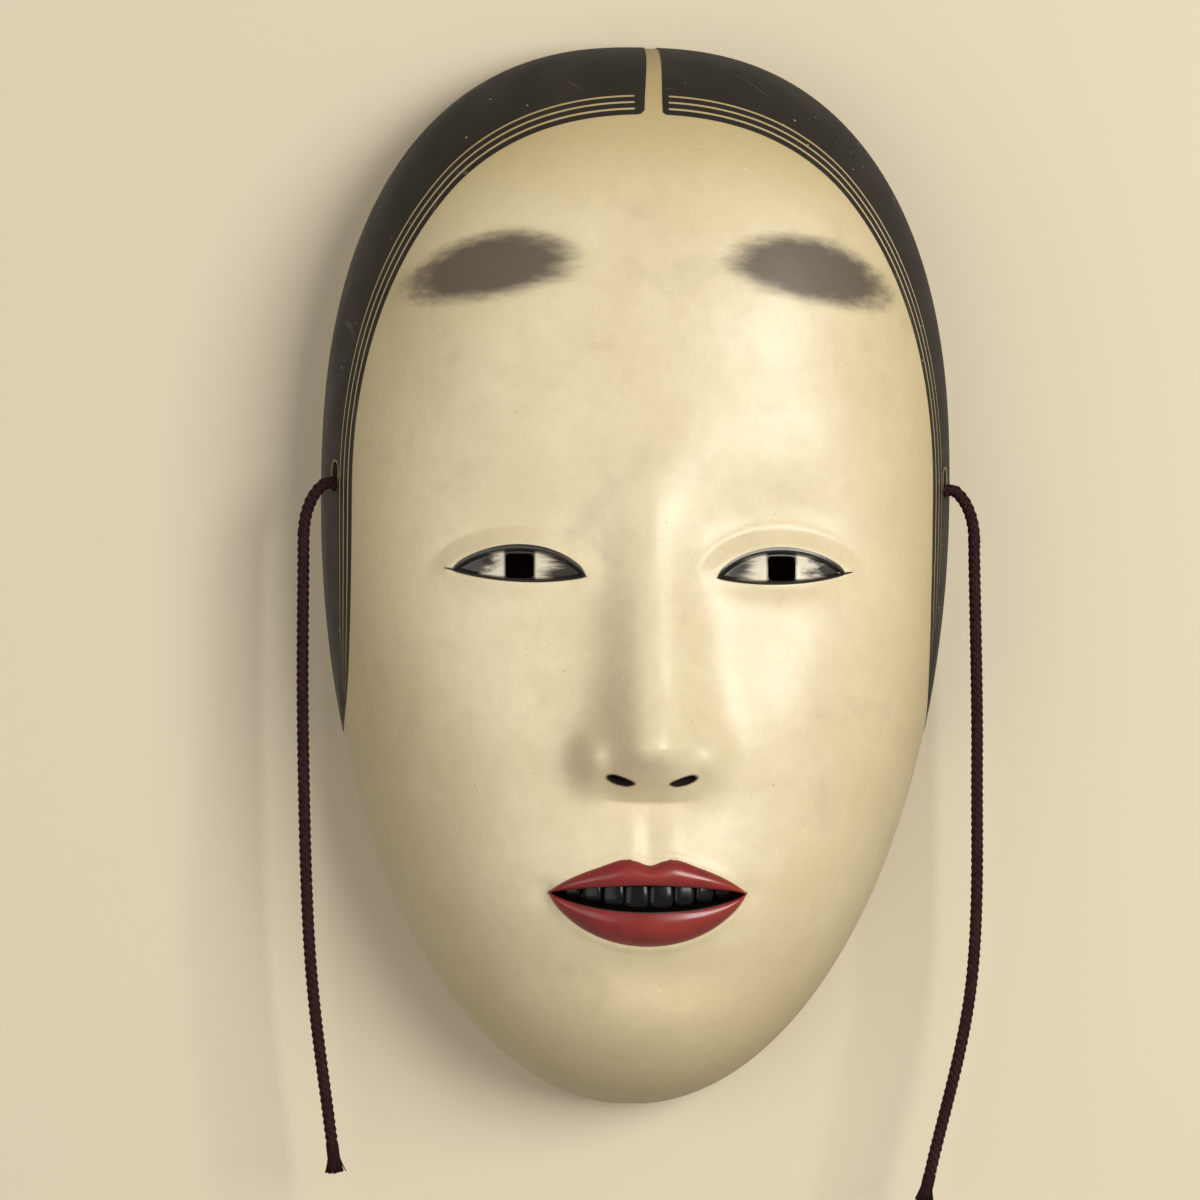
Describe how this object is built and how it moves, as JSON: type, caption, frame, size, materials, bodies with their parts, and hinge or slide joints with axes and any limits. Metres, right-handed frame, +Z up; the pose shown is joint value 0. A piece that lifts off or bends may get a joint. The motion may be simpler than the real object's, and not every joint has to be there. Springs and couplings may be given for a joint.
{
  "type": "noh mask",
  "caption": "Carved wooden noh mask of a young woman, white face and black parted hair, open flat back, with a braided cord hanging from a hole in each side.",
  "frame": {"origin": "middle of the flat back rim's wall at the crown, in the plane the mask rests on", "axes": "+Z up from chin to crown, +Y out of the back, so the face looks along -Y, +X to the viewer's right"},
  "size_m": [0.1366, 0.0668, 0.2325],
  "materials": {
    "cypress_wood": "bare cypress wiped with thin brown lacquer, gouge marks left in the hollow",
    "shell_white_skin": "burnished shell-white ground, ivory, satin, faintly mottled with age",
    "black_ink": "warm black ink and lacquer over the ground, satin, with fine scratches",
    "vermilion": "vermilion pigment over the ground, satin",
    "plum_silk_cord": "round braid of dark plum silk, matt with a soft sheen"
  },
  "bodies": {
    "mask": {"carved_shell": "cypress_wood", "skin_coat": "shell_white_skin", "hair_coat_left": "black_ink", "hair_coat_right": "black_ink", "eye_coat_left": "black_ink", "eye_coat_right": "black_ink", "lip_coat_upper": "vermilion", "lip_coat_lower": "vermilion", "teeth": "black_ink"},
    "left_cord_upper": {"left_stopper_knot": "plum_silk_cord", "left_cord_upper": "plum_silk_cord"},
    "left_cord_middle": {"left_cord_middle": "plum_silk_cord"},
    "left_cord_lower": {"left_cord_lower": "plum_silk_cord"},
    "left_cord_tip": {"left_cord_tip": "plum_silk_cord", "left_end_whipping": "plum_silk_cord", "left_end_tassel": "plum_silk_cord"},
    "right_cord_upper": {"right_stopper_knot": "plum_silk_cord", "right_cord_upper": "plum_silk_cord"},
    "right_cord_middle": {"right_cord_middle": "plum_silk_cord"},
    "right_cord_lower": {"right_cord_lower": "plum_silk_cord"},
    "right_cord_tip": {"right_cord_tip": "plum_silk_cord", "right_end_whipping": "plum_silk_cord", "right_end_tassel": "plum_silk_cord"}
  },
  "joints": [
    {"name": "left_cord_swing", "type": "hinge", "parent": "mask", "child": "left_cord_upper", "pos_m": [-0.0621, -0.018, -0.0832], "axis": [1, 0, 0], "range_deg": [-60, 100]},
    {"name": "left_cord_spread", "type": "hinge", "parent": "left_cord_upper", "child": "left_cord_middle", "pos_m": [-0.0665, -0.018, -0.0962], "axis": [0, 1, 0], "range_deg": [-4, 80], "stiffness_Nm_per_rad": 0.0008},
    {"name": "left_cord_curl", "type": "hinge", "parent": "left_cord_middle", "child": "left_cord_lower", "pos_m": [-0.0662, -0.018, -0.1332], "axis": [1, 0, 0], "range_deg": [-60, 60], "stiffness_Nm_per_rad": 0.0008},
    {"name": "left_cord_tip_bend", "type": "hinge", "parent": "left_cord_lower", "child": "left_cord_tip", "pos_m": [-0.0643, -0.018, -0.1772], "axis": [0, 1, 0], "range_deg": [-40, 50], "stiffness_Nm_per_rad": 0.0008},
    {"name": "right_cord_swing", "type": "hinge", "parent": "mask", "child": "right_cord_upper", "pos_m": [0.0621, -0.018, -0.0832], "axis": [1, 0, 0], "range_deg": [-60, 100]},
    {"name": "right_cord_spread", "type": "hinge", "parent": "right_cord_upper", "child": "right_cord_middle", "pos_m": [0.0665, -0.018, -0.0962], "axis": [0, -1, 0], "range_deg": [-4, 80], "stiffness_Nm_per_rad": 0.0008},
    {"name": "right_cord_curl", "type": "hinge", "parent": "right_cord_middle", "child": "right_cord_lower", "pos_m": [0.0675, -0.018, -0.1372], "axis": [1, 0, 0], "range_deg": [-60, 60], "stiffness_Nm_per_rad": 0.0008},
    {"name": "right_cord_tip_bend", "type": "hinge", "parent": "right_cord_lower", "child": "right_cord_tip", "pos_m": [0.0668, -0.018, -0.1812], "axis": [0, -1, 0], "range_deg": [-40, 50], "stiffness_Nm_per_rad": 0.0008}
  ]
}
